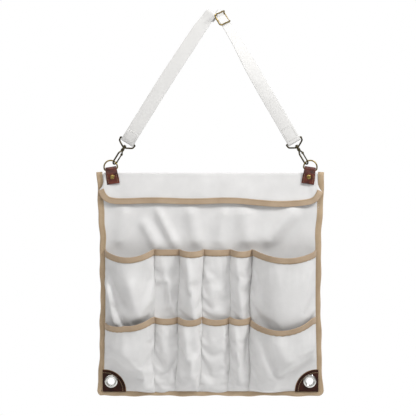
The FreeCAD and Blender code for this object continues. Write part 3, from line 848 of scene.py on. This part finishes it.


# %% [markdown]
# ## The header and flap
# The canvas comes up the back, over the top edge and down the front as a short flap. Two rivets
# hold it at the top, and below them it lifts as a flap does. Here the sheet is drawn in one shape,
# bent over that fold, and rides on no body; its tape and thread ride on the flap. Its lower edge is
# bound, and rises in a round corner at each side.

# %% Make the flap
header_low, header_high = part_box("header_band")
FLAP_EDGE = 0.3485
FLAP_HALF = 0.2010
FLAP_TAPE = 0.0100


def flap_edge(x):
    """The height of the flap's lower edge."""
    inset = FLAP_HALF - np.abs(x)
    return (FLAP_EDGE - 0.0055 * np.exp(-((x - 0.14) / 0.06) ** 2) + 0.023 * np.exp(-inset / 0.0085)
            + 0.0009 * np.sin(x * 47))


def make_flap():
    """The sheet over the top edge and down the front, and the tape round it."""
    header_y = (header_low.y + header_high.y) / 2
    xs = np.linspace(-FLAP_HALF, FLAP_HALF, 133)
    over = [(0.0064, 0.0), (0.0056, 0.0014), (0.0030, 0.0026), (0.0006, 0.0018), (0.0, 0.0)]
    rows = []
    for back, rise in over[:-1]:
        rows.append([(x * 0.955, header_y + back * 0.45, TOP + rise * 0.4) for x in xs])
    for share in np.linspace(0, 1, 19):
        line = []
        for x in xs:
            height = TOP + (flap_edge(x) - TOP) * share
            bulge = 0.0035 * math.sin(share * math.pi) * (0.6 + 0.4 * math.sin(x * 23 + 1))
            lean = 0.0030 * share ** 2
            clear = 0.0016 * np.clip((abs(x) - 0.185) / 0.006, 0, 1)
            line.append((x * (1 - 0.045 * (1 - share ** 4)), header_y - bulge * 0.5 - lean - clear, height))
        rows.append(line)
    local = np.array(rows)
    push = ripple(local[..., 0], local[..., 2], 29, 0.08) * 0.0008
    calm = np.clip((TOP - 0.012 - local[..., 2]) / 0.02, 0, 1)
    grid = np.stack([MIDDLE + local[..., 0], local[..., 1] - push * calm, BOTTOM + local[..., 2]], axis=2)
    points, faces = cloth_mesh(grid, 0.0013)
    made = piece("flap_canvas", points, faces, canvas, None, "canvas")
    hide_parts("flap_cloth", "header_band")
    path = grid[-1]
    across = np.gradient(path, axis=0)
    across /= np.linalg.norm(across, axis=1, keepdims=True)
    up = np.cross(across, np.array([0.0, 1.0, 0.0]))
    up *= np.sign(up[:, 2:3])
    levels = [-0.0008, 0.0, 0.0022, 0.0050, 0.0080, FLAP_TAPE]
    band = np.array([path + up * level for level in levels])[::-1]
    rim = FLAP_HALF + 0.0007
    band = np.clip(band, [MIDDLE - rim, -1, -1], [MIDDLE + rim, 1, 1])
    points, faces = cloth_mesh(band, 0.0027)
    tape = piece("flap_tape_cotton", points, faces, tape_pale, "flap", "binding")
    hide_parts("flap_tape")
    line = path + up * 0.0082 + np.array([0, -0.0014, 0])
    sewn = piece("flap_stitches", *stitches(line, (0, -1, 0)), thread, "flap", "binding")
    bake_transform(made)


make_flap()


# %% [markdown]
# ## Leather corners and grommets
# Each lower corner has a quarter disc of leather sewn over the canvas, with a grommet through it.
# The leather is a thin slab with its edge rounded over, and a light burnished line where it is cut.

# %% Make the corners
def make_corner(name, side):
    """A quarter disc of leather, its cut edge and its row of thread."""
    low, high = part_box(f"{name}_corner_leather")
    inner = side * (HALF + 0.0028)
    base = low.z - BOTTOM - 0.0030
    radius = high.x - low.x
    rings, spokes = 16, 40
    grid = np.zeros((rings, spokes, 3))
    for k, t in enumerate(np.linspace(0, math.pi / 2, spokes)):
        for r, share in enumerate(np.linspace(0.02, 1, rings)):
            reach = radius * share * (1 + 0.03 * math.sin(2 * t) - 0.05 * math.sin(t))
            drop = 0.0012 * max(0.0, (share - 0.93) / 0.07) ** 2
            grid[r, k] = spot(inner - side * reach * math.cos(t), (low.y + high.y) / 2 - 0.0006 + drop,
                              base + reach * math.sin(t))
    keep = clear_of_holes(grid, 0.0082)
    points, faces = cloth_mesh(grid if side < 0 else grid[:, ::-1], high.y - low.y,
                               keep if side < 0 else keep[:, ::-1])
    made = piece(f"{name}_corner_hide", points, faces, corner_leather, "panel", "leather")
    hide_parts(f"{name}_corner_leather")
    rim = grid[-1] + np.array([0, -(high.y - low.y) * 0.42, 0])
    points, faces = swept(rim, (0, 1, 0), round_section(0.0006, 8))
    piece(f"{name}_corner_edge", points, faces, edge_leather, "panel", "leather")
    line = grid[-3] + np.array([0, -(high.y - low.y) * 0.52, 0])
    piece(f"{name}_corner_stitches", *stitches(line, (0, -1, 0)), thread, "panel", "leather")
    print(name, "corner radius", round(radius, 4))


# %% [markdown]
# A grommet is a brass ring plated with nickel. Its barrel goes through leather, pocket and panel,
# and is rolled over the washer behind. A turned profile gives its rounded flange.

# %% Make the grommets
def frame_mount(name):
    """A mount of the frame by its name."""
    return [m for m in frame["record"]["mounts"] if m["name"] == name][0]


def make_grommet(name):
    """The turned ring in front and the washer behind."""
    low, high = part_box(f"{name}_grommet")
    centre = ((low.x + high.x) / 2, 0, (low.z + high.z) / 2)
    flange = (high.x - low.x) / 2
    hole = frame_mount(f"{name}_grommet_hole")["dims"]["r_mm"] * MM
    front, back = low.y, high.y
    dome = []
    for t in np.linspace(0, math.pi, 14):
        middle, half = (flange + hole) / 2, (flange - hole) / 2
        dome.append((middle + half * math.cos(t), front + 0.0016 - 0.0018 * math.sin(t)))
    profile = dome + [(hole, back), (hole + 0.0008, back), (hole + 0.0008, front + 0.0018)]
    made = piece(f"{name}_grommet_nickel", *turned(profile, centre), nickel, "panel", "nickel")
    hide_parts(f"{name}_grommet")
    low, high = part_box(f"{name}_grommet_washer")
    rounded = [(middle + half * math.cos(t), low.y + (high.y - low.y) * math.sin(t))
               for t in np.linspace(0, math.pi, 14)]
    washer = piece(f"{name}_washer_nickel", *turned(rounded, centre), nickel, "panel", "nickel")
    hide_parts(f"{name}_grommet_washer")


for name, side in SIDES:
    make_corner(name, side)
    make_grommet(name)


# %% [markdown]
# ## Tabs, rivets and D-rings
# A tab is a strip of leather 20 mm wide, folded round the ring's straight bar and riveted through
# the panel. Its path is drawn in its own plane, then the strip's section is carried along it.

# %% Make the tabs
TILT = math.radians(9)


def local_frame(origin, up):
    """A function that maps (x, y, z) of a piece's own frame into the scene."""
    up = np.array(up, float) / np.linalg.norm(up)
    y = np.array([0.0, 1.0, 0.0])
    x = np.cross(y, up)
    origin = np.array(origin, float)
    return lambda p: origin + x * p[0] + y * p[1] + up * p[2]


def tab_frame(side):
    """A tab's own frame, which leans outward, and the ring's pivot in it."""
    pivot = np.array(joints["panel_swing"]["pos_m"])
    pivot[0] = MIDDLE + side * abs(pivot[0] - MIDDLE)
    return local_frame(pivot, (side * math.sin(TILT), 0, math.cos(TILT))), pivot


def make_tab(name, side):
    """The folded leather, a little wider at its cut end, and its two rows of thread."""
    place, pivot = tab_frame(side)
    skin = 0.0017
    profile = [(-0.0009, -0.0262), (-0.0009, -0.016), (-0.0010, -0.0075), (-0.0028, -0.0038),
               (-0.0041, 0.0), (-0.0029, 0.0029), (0, 0.0041), (0.0029, 0.0029), (0.0041, 0.0),
               (0.0028, -0.0038), (0.0010, -0.0075), (0.0009, -0.016), (0.0009, -0.0262)]
    line = smooth_path([(0, y, z) for y, z in profile], 6)
    path = np.array([place(p) for p in line])
    across = place((1, 0, 0)) - place((0, 0, 0))
    up = place((0, 0, 1)) - place((0, 0, 0))
    points, faces = swept(path, across, flat_section(0.0200, skin, 7))
    points = [p + across * (np.dot(p - pivot, across) * min(0.14, max(0.0, -np.dot(p - pivot, up) / 0.11)))
              for p in points]
    made = piece(f"{name}_tab_hide", points, faces, tab_leather, "panel", "leather")
    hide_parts(f"{name}_tab")
    for edge_x in (-0.0082, 0.0082):
        rows = np.array([place((edge_x, -0.0019, z)) for z in np.linspace(-0.0245, -0.007, 8)])
        piece(f"{name}_tab_stitches_{'a' if edge_x < 0 else 'b'}",
              *stitches(rows, (0, -1, 0), 0.0018, 0.0012, 0.00025), thread, "panel", "leather")
    print(name, "tab at", [round(v, 4) for v in pivot])


# %% [markdown]
# The rivet's head is a shallow dome, hammered onto a shank. The ring is bent wire, closed behind
# the fold. Both are the same aged brass.

# %% Make the rivets and rings
def make_rivet(name):
    """A domed head in front, a shank, and a flat head behind."""
    low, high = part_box(f"{name}_rivet")
    centre = ((low.x + high.x) / 2, 0, (low.z + high.z) / 2)
    head = (high.x - low.x) / 2
    neck = low.y + 0.0017
    dome = [(head * math.sin(t), neck - 0.0019 * math.cos(t)) for t in np.linspace(0.02, math.pi / 2, 9)]
    shank = [(head * 0.9, neck + 0.0003), (head * 0.48, neck + 0.0003), (head * 0.48, high.y - 0.001),
             (head * 0.9, high.y - 0.001), (head * 0.7, high.y), (0.0001, high.y)]
    made = piece(f"{name}_rivet_brass", *turned(dome + shank, centre, 32), brass, "panel", "antique_brass")
    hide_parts(f"{name}_rivet")


def make_ring(name, side):
    """A D of wire, with its straight bar in the tab's fold."""
    place = tab_frame(side)[0]
    half, corner, leg, wire = 0.0120, 0.003, 0.0043, 0.0013
    outline = [(x, 0) for x in np.linspace(corner - half, half - corner, 8)]
    outline += [(half - corner + corner * math.sin(t), corner - corner * math.cos(t))
                for t in np.linspace(0.25, math.pi / 2, 5)]
    outline += [(half * math.cos(t), leg + half * math.sin(t)) for t in np.linspace(0, math.pi, 33)]
    outline += [(corner - half - corner * math.sin(t), corner - corner * math.cos(t))
                for t in np.linspace(math.pi / 2, 0.25, 5)]
    path = np.array([place((x, 0, z)) for x, z in outline])
    points, faces = swept(path, (0, 1, 0), round_section(wire, 16), closed=True)
    made = piece(f"{name}_ring_brass", points, faces, brass, f"{name}_ring", "antique_brass")
    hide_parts(f"{name}_ring")
    print(name, "ring", round(2 * (half + wire), 4), "m wide")


for name, side in SIDES:
    make_tab(name, side)
    make_rivet(name)
    make_ring(name, side)


# %% [markdown]
# ## Swivel hooks
# Each hook is three castings: an eye that the strap is folded round, a hook that turns in the
# eye's collar, and a sprung gate. They are bent wire in form, so each is a round section carried
# along a smooth path, with turned collars where they meet.

# %% Wire helpers
def lathe_along(profile, place, sides=32):
    """A profile of (radius, z) turned about the piece's own Z."""
    points, faces = [], []
    for t in np.arange(sides) / sides * 2 * math.pi:
        points += [place((r * math.cos(t), r * math.sin(t), z)) for r, z in profile]
    count = len(profile)
    for i in range(sides):
        a, b = i * count, (i + 1) % sides * count
        faces += [(a + k, b + k, b + k + 1, a + k + 1) for k in range(count - 1)]
    return points, faces


def hook_frames(name):
    """The eye's frame, the hook's frame, and the direction that is square to the hook's plane."""
    swivel = joints[f"{name}_hook_swivel"]
    gate = joints[f"{name}_gate_press"]
    eye = local_frame(swivel["pos_m"], swivel["axis"])
    up = np.array(swivel["axis"])
    normal = np.array(gate["axis"])
    side = np.cross(normal, up)
    origin = np.array(swivel["pos_m"])
    return eye, (lambda p: origin + side * p[0] + normal * p[1] + up * p[2]), normal


def wire_piece(points, place, normal, radius, closed=False, steps=8):
    """A round wire along a smooth path through a few points."""
    path = np.array([place(p) for p in smooth_path(points, steps, closed)])
    return swept(path, normal, round_section(radius, 14), closed)


def ball(centre, radius, place):
    """A rounded end for a wire."""
    profile = [(max(radius * math.sin(t), 0.00001), -radius * math.cos(t))
               for t in np.linspace(0, math.pi, 13)]
    return lathe_along(profile, lambda p: place((p[0] + centre[0], p[1] + centre[1], p[2] + centre[2])), 16)


# %% [markdown]
# The eye's straight bar holds the strap, and its two shoulders run down to the collar. The hook's
# pin turns in that collar, held by its head. The gate closes the hook's mouth.

# %% Bend the hooks
def make_hook(name):
    """The eye with its collar, the hook with its headed pin, and the gate."""
    eye, hook, normal = hook_frames(name)
    half, wire = 0.0144, 0.0015
    outline = [(-half, 0, 0.0002), (-half * 0.5, 0, 0), (0, 0, 0), (half * 0.5, 0, 0), (half, 0, 0.0002),
               (half, 0, -0.0030), (half * 0.92, 0, -0.0062), (0.0062, 0, -0.0105), (0.0024, 0, -0.0122),
               (-0.0024, 0, -0.0122), (-0.0062, 0, -0.0105), (-half * 0.92, 0, -0.0062), (-half, 0, -0.0030)]
    loop = wire_piece(outline, eye, (0, 1, 0), wire, True)
    collar = lathe_along([(0.0019, -0.0098), (0.0031, -0.0098), (0.0037, -0.0106), (0.0037, -0.0133),
                          (0.0031, -0.0142), (0.0019, -0.0142)], eye)
    made = piece(f"{name}_eye_metal", *joined([loop, collar]), gunmetal, "strap", "gunmetal")
    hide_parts(f"{name}_eye")
    bend = 0.0055
    curve = [(0, 0, -0.0190), (-0.0030, 0, -0.0222), (-bend, 0, -0.0262), (-bend, 0, -0.031),
             (-bend, 0, -0.037), (-bend, 0, -0.042)]
    curve += [(-bend * math.cos(t), 0, -0.042 - bend * math.sin(t))
              for t in np.linspace(0.35, math.pi - 0.35, 7)]
    curve += [(bend, 0, -0.042), (bend, 0, -0.0408)]
    body = wire_piece(curve, hook, normal, 0.0015)
    yoke = wire_piece([(0, 0, -0.0190), (0.0026, 0, -0.0215), (0.0044, 0, -0.0233)], hook, normal, 0.0014)
    barrel = lathe_along([(0.0001, -0.0208), (0.0022, -0.0204), (0.0030, -0.0190), (0.0030, -0.0160),
                          (0.0025, -0.0148), (0.0017, -0.0146), (0.0017, -0.0094), (0.0027, -0.0094),
                          (0.0027, -0.0086), (0.0016, -0.0081), (0.0001, -0.0080)], hook)
    tip = ball((bend, 0, -0.0408), 0.0015, hook)
    made = piece(f"{name}_hook_metal", *joined([body, yoke, barrel, tip]), gunmetal,
                 f"{name}_hook", "gunmetal")
    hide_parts(f"{name}_hook")
    bar = wire_piece([(bend, 0, -0.0262), (bend, 0, -0.031), (bend, 0, -0.0390)], hook, normal, 0.0012)
    pivot = lathe_along([(0.0001, -0.0013), (0.0021, -0.0013), (0.0023, -0.0010), (0.0023, 0.0010),
                         (0.0021, 0.0013), (0.0001, 0.0013)],
                        lambda p: hook((bend + p[0], p[2], -0.0260 + p[1])))
    end = ball((bend, 0, -0.0390), 0.0012, hook)
    made = piece(f"{name}_gate_metal", *joined([bar, pivot, end]), gunmetal, f"{name}_gate", "gunmetal")
    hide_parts(f"{name}_gate")
    print(name, "hook: eye", round(2 * half, 4), "m wide")


for name in ("left", "right"):
    make_hook(name)


# %% [markdown]
# ## The strap
# The strap is canvas webbing 25 mm wide. Each end goes round its hook's eye and is sewn back on
# itself. Both runs meet at the fold on top: the left one folds over, and the right one comes out
# from behind it through the slider.

# %% Make the strap
STRAP = 0.025
WEB = 0.0017
slider_axis = np.array(joints["slider_slide"]["axis"])


def strap_run(name, finish, line, patch):
    """A run of webbing. Its line's points are (turn in degrees, depth, height above the eye, shift)."""
    line = [(*point, 0.0)[:4] for point in line]
    swivel = joints[f"{name}_hook_swivel"]
    eye = local_frame(swivel["pos_m"], swivel["axis"])
    axes = [eye(p) - eye((0, 0, 0)) for p in ((1, 0, 0), (0, 1, 0))]
    fine = smooth_path(line, 6)
    turns = np.radians(fine[:, 0])
    across = axes[0] * np.cos(turns)[:, None] + axes[1] * np.sin(turns)[:, None]
    world = np.array([eye((x - y * math.sin(t), y * math.cos(t), z))
                      for t, (y, z, x) in zip(turns, fine[:, 1:])])
    points, faces = swept(world, across, flat_section(STRAP, WEB, 7))
    made = piece(f"{name}_strap_webbing", points, faces, finish, "strap", "webbing")
    rows = []
    for x in (-0.0095, 0.0095):
        ends = np.array([eye((x, y, z)) for y, z in patch])
        rows.append(stitches(ends, (0, -1, 0), 0.0020, 0.0014, 0.0003))
    for y, z in (patch[0], patch[-1]):
        bar = np.array([eye((x, y, z)) for x in np.linspace(-0.0095, 0.0095, 8)])
        rows.append(stitches(bar, (0, -1, 0), 0.0020, 0.0014, 0.0003))
    piece(f"{name}_strap_stitches", *joined(rows), thread_white, "strap", "webbing")
    length = np.linalg.norm(np.diff(world, axis=0), axis=1).sum()
    print(name, "run", round(length, 3), "m of webbing")
    return made


def run_length(name, top):
    """How far along a run its top height is, from the swivel."""
    swivel = joints[f"{name}_hook_swivel"]
    return (top - swivel["pos_m"][2]) / swivel["axis"][2]


# The left run's end is sewn on its front. Near the top it turns away and folds over.
reach = run_length("left", 0.0125)
left_line = [(0, -0.0046, 0.0205), (0, -0.0046, 0.014), (0, -0.0038, 0.007), (0, -0.0030, 0.001),
             (0, -0.0018, -0.0024), (0, 0.0006, -0.0030), (0, 0.0028, -0.0012), (0, 0.0024, 0.004),
             (0, -0.0012, 0.011), (0, -0.0030, 0.020), (0, -0.0030, 0.060), (0, -0.0030, 0.120),
             (-4, -0.0030, 0.170, 0.0010), (-16, -0.0030, reach - 0.040, 0.0035),
             (-30, -0.0028, reach - 0.016, 0.0055), (-36, -0.0028, reach - 0.004, 0.0065),
             (-36, -0.0018, reach - 0.0005, 0.0068), (-36, 0.0008, reach + 0.0006, 0.0068),
             (-36, 0.0026, reach - 0.003, 0.0066), (-36, 0.0028, reach - 0.014, 0.0060)]
left_patch = [(-0.0055, 0.003), (-0.0056, 0.010), (-0.0056, 0.0185)]
# The right run's end is sewn on its back. It comes out from behind the fold, turned half edge on.
reach = run_length("right", 0.0105)
right_line = [(0, -0.0010, 0.030), (0, -0.0008, 0.016), (0, 0.0016, 0.0060), (0, 0.0029, 0.0),
              (0, 0.0019, -0.0023), (0, -0.0003, -0.0030), (0, -0.0025, -0.0017), (0, -0.0030, 0.002),
              (0, -0.0030, 0.012), (0, -0.0030, 0.036), (4, -0.0030, 0.090), (18, -0.0028, 0.150),
              (42, -0.0024, 0.200), (48, -0.0020, reach - 0.030), (48, -0.0006, reach - 0.012),
              (40, 0.0030, reach - 0.003, -0.0004), (26, 0.0052, reach + 0.000, -0.0020),
              (18, 0.0064, reach + 0.001, -0.0040)]
right_patch = [(-0.0039, 0.004), (-0.0039, 0.016), (-0.0039, 0.028)]


left_run = strap_run("left", webbing_left, left_line, left_patch)
strap_run("right", webbing_right, right_line, right_patch)
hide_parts("strap_webbing")


# %% [markdown]
# ## The slider
# A slider of three bars sets the strap's length: the webbing runs behind the two end bars and in
# front of the middle one. It is cast, so its corners are soft.

# %% Make the slider
def make_slider():
    """The frame of bent wire and its middle bar."""
    low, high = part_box("strap_slider")
    centre = np.array((low + high) / 2)
    flat_place = local_frame(centre, -slider_axis)
    lean = math.radians(50)

    def place(p):
        """The slider lies on the webbing, which is turned half edge on here."""
        x, y, z = p
        return flat_place((x * math.cos(lean) - y * math.sin(lean),
                           x * math.sin(lean) + y * math.cos(lean), z))

    half, length, wire = 0.0145, 0.0105, 0.0013
    depth = 0.0022
    outline = [(-half, 0, -length + 0.003), (-half, 0, 0), (-half, 0, length - 0.003),
               (-half + 0.001, -depth, length), (0, -depth, length), (half - 0.001, -depth, length),
               (half, 0, length - 0.003), (half, 0, 0), (half, 0, -length + 0.003),
               (half - 0.001, -depth, -length), (0, -depth, -length), (-half + 0.001, -depth, -length)]
    frame_wire = wire_piece(outline, place, (0, 1, 0), wire, True)
    bar = wire_piece([(-half, 0.0002, 0), (-half + 0.003, depth, 0), (0, depth + 0.0002, 0),
                      (half - 0.003, depth, 0), (half, 0.0002, 0)], place, (0, 0, 1), 0.0012)
    made = piece("slider_brass", *joined([frame_wire, bar]), brass, "slider", "antique_brass")
    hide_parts("strap_slider")
    print("slider", round(2 * half, 4), "by", round(2 * length, 4), "m")


make_slider()


# %% [markdown]
# ## Stage, light and camera
# A plain pale floor and a white sky behind. The room in front is dimmer, and brighter above than
# below, so the bulges of the cloth get a soft shade. One soft light stands at the upper right, a
# weaker one at the left, and one above. The camera is almost level and far off.

# %% Set the stage
def plane(name, corners, finish):
    """A flat sheet of the stage."""
    mesh = bpy.data.meshes.new(name)
    mesh.from_pydata(corners, [], [(0, 1, 2, 3)])
    mesh.materials.append(finish)
    made = bpy.data.objects.new(name, mesh)
    bpy.context.scene.collection.objects.link(made)


paper, _, paper_shader = finish_of("pale_paper")
paper_shader.inputs["Base Color"].default_value = colour("#fbfbfb")
paper_shader.inputs["Roughness"].default_value = 1.0
paper_shader.inputs["Specular IOR Level"].default_value = 0.0
FLOOR = BOTTOM - 0.30
WIDE = 4.0
REAR = 0.8
plane("floor", [(-WIDE, -WIDE, FLOOR), (WIDE, -WIDE, FLOOR), (WIDE, REAR, FLOOR), (-WIDE, REAR, FLOOR)],
      paper)


def soft_light(name, place, aim, size, power):
    """A round area light that faces a point."""
    data = bpy.data.lights.new(name, "AREA")
    data.shape = "DISK"
    data.size = size
    data.energy = power
    made = bpy.data.objects.new(name, data)
    made.location = place
    made.rotation_euler = (Vector(aim) - Vector(place)).to_track_quat("-Z", "Y").to_euler()
    bpy.context.scene.collection.objects.link(made)


aim = (MIDDLE, 0, BOTTOM + 0.25)
soft_light("key", (1.05, -0.75, 0.72), aim, 0.4, 18)
soft_light("fill", (-1.2, -1.3, 0.8), aim, 1.0, 5)
soft_light("top", (-0.1, -0.6, 0.65), aim, 0.6, 5)
world = bpy.data.worlds.new("studio")
bpy.context.scene.world = world
world.use_nodes = True
sky = world.node_tree
toward = add(sky, "ShaderNodeSeparateXYZ", Vector=add(sky, "ShaderNodeTexCoord").outputs["Generated"])
behind = add(sky, "ShaderNodeMapRange", Value=toward.outputs["Y"], From_Min=0.1, From_Max=0.7,
             To_Min=0.0, To_Max=1.0)
above = add(sky, "ShaderNodeMapRange", Value=toward.outputs["Z"], From_Min=-0.6, From_Max=0.9,
            To_Min=0.10, To_Max=0.52)
glow = add(sky, "ShaderNodeMix", {"data_type": "FLOAT"}, i0=behind.outputs[0], i2=above.outputs[0], i3=1.0)
sky.nodes["Background"].inputs["Color"].default_value = colour("#ffffff")
sky.links.new(glow.outputs[0], sky.nodes["Background"].inputs["Strength"])
bpy.context.scene.view_settings.view_transform = "Standard"
print("floor", round(BOTTOM - FLOOR, 3), "m below the panel; lights:", len(bpy.data.lights))

# %% Set the camera
FRAME_WIDTH = 0.7488
DISTANCE = 2.4
LIFT = math.radians(2.0)
camera_data = bpy.data.cameras.new("camera")
camera_data.sensor_width = 36
camera_data.lens = 36 * DISTANCE / FRAME_WIDTH
camera = bpy.data.objects.new("camera", camera_data)
target = Vector((-0.0095, FRONT, -0.3408))
camera.location = target + Vector((0, -DISTANCE * math.cos(LIFT), DISTANCE * math.sin(LIFT)))
camera.rotation_euler = (target - camera.location).to_track_quat("-Z", "Y").to_euler()
bpy.context.scene.collection.objects.link(camera)
bpy.context.scene.camera = camera
print("lens", round(camera_data.lens, 1), "mm at", DISTANCE, "m")
